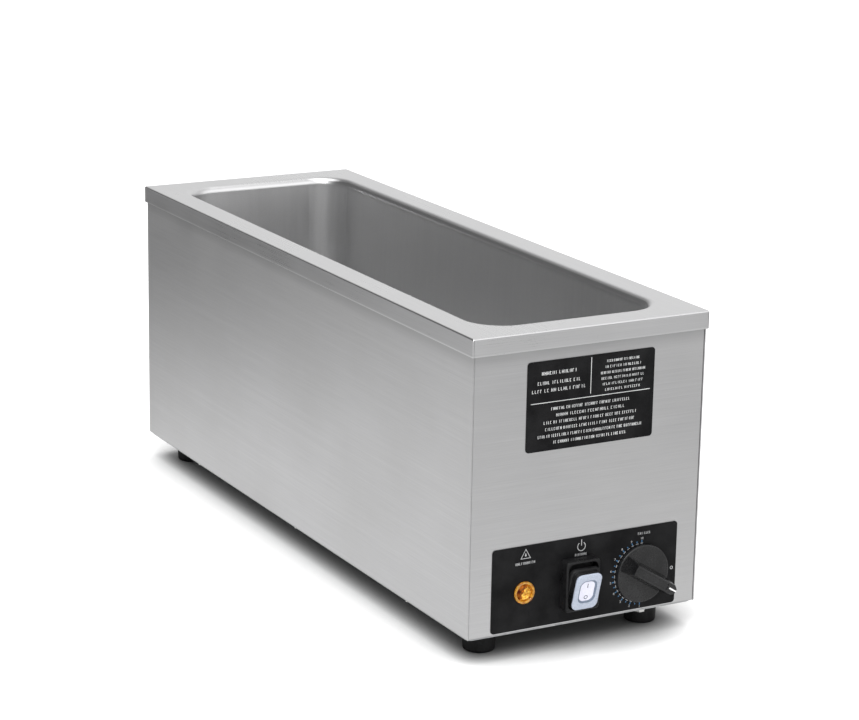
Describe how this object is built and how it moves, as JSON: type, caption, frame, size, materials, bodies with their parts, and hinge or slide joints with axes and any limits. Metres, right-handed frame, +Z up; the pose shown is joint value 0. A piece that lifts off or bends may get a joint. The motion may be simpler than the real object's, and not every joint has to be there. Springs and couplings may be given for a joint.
{
  "type": "countertop steam table",
  "caption": "Narrow countertop steam table: a stainless cabinet with a deep water well for a long half-size pan, a power rocker, a pilot lamp and a heat knob on the front.",
  "frame": {"origin": "on the table under the middle of the cabinet", "axes": "+X to the right seen from the control front, +Y from the control front to the back, +Z up"},
  "size_m": [0.1886, 0.5864, 0.232],
  "materials": {
    "brushed_stainless": "brushed",
    "galvanised_sheet": "spangled zinc",
    "plated_steel": "bright zinc plate",
    "aluminium_sheet": "mill",
    "element_sheath": "heat-darkened",
    "foot_rubber": "moulded matt",
    "boot_rubber": "satin",
    "graphics_black": "printed matt film",
    "knob_plastic": "moulded satin",
    "black_plastic": "moulded",
    "gland_nylon": "moulded nylon",
    "phenolic_brown": "moulded phenolic",
    "amber_lens": "translucent amber",
    "lamp_glass": "clear",
    "clear_window": "translucent silicone",
    "white_plastic": "gloss",
    "white_paint": "paint",
    "brass_terminal": "tinned",
    "copper": "drawn copper",
    "wire_insulation_black": "silicone sleeve",
    "wire_insulation_red": "silicone sleeve",
    "wire_insulation_green": "silicone sleeve",
    "mineral_wool": "needled mat"
  },
  "bodies": {
    "housing": {"body_wrapper": "brushed_stainless", "bottom_plate": "galvanised_sheet", "bottom_plate_screws": "plated_steel", "capillary_tube": "copper", "control_faceplate": "graphics_black", "element_clamps": "plated_steel", "element_pins": "brass_terminal", "element_wires": "wire_insulation_red", "foot_front_left": "foot_rubber", "foot_front_right": "foot_rubber", "foot_rear_left": "foot_rubber", "foot_rear_right": "foot_rubber", "foot_screws": "plated_steel", "foot_washers": "plated_steel", "front_panel": "brushed_stainless", "gland_body": "gland_nylon", "gland_locknut": "gland_nylon", "gland_nut": "gland_nylon", "gland_seal": "foot_rubber", "ground_stud": "plated_steel", "ground_wire": "wire_insulation_green", "heat_shield": "galvanised_sheet", "heat_spreader": "aluminium_sheet", "heating_element": "element_sheath", "high_limit_thermostat": "phenolic_brown", "information_plate": "graphics_black", "insulation_bottom": "mineral_wool", "insulation_front": "mineral_wool", "insulation_left": "mineral_wool", "insulation_rear": "mineral_wool", "insulation_right": "mineral_wool", "lamp_wires": "wire_insulation_red", "low_water_thermostat": "phenolic_brown", "m5_nuts": "plated_steel", "pilot_body": "black_plastic", "pilot_clip": "plated_steel", "pilot_lens": "amber_lens", "pilot_neon_bulb": "lamp_glass", "pilot_terminals": "brass_terminal", "spade_terminals": "brass_terminal", "stud_nuts": "plated_steel", "supply_wires": "wire_insulation_black", "switch_body": "black_plastic", "switch_boot": "boot_rubber", "terminal_block": "black_plastic", "terminal_screws": "brass_terminal", "thermostat_body": "black_plastic", "thermostat_bracket": "plated_steel", "thermostat_bulb": "copper", "thermostat_screws": "plated_steel", "thermostat_wire": "wire_insulation_black", "weld_studs": "plated_steel", "well_and_rim": "brushed_stainless"},
    "rocker": {"rocker_boot": "boot_rubber", "rocker_window": "clear_window", "rocker_paddle": "white_plastic"},
    "knob": {"thermostat_knob": "knob_plastic", "knob_pointer_mark": "white_paint", "thermostat_shaft": "plated_steel"}
  },
  "joints": [
    {"name": "power_rocker", "type": "hinge", "parent": "housing", "child": "rocker", "pos_m": [-0.0065, -0.27825, 0.0486], "axis": [-1, 0, 0], "range_deg": [0, 30]},
    {"name": "heat_knob", "type": "hinge", "parent": "housing", "child": "knob", "pos_m": [0.0462, -0.27475, 0.0474], "axis": [0, -1, 0], "range_deg": [-238, 32]}
  ]
}
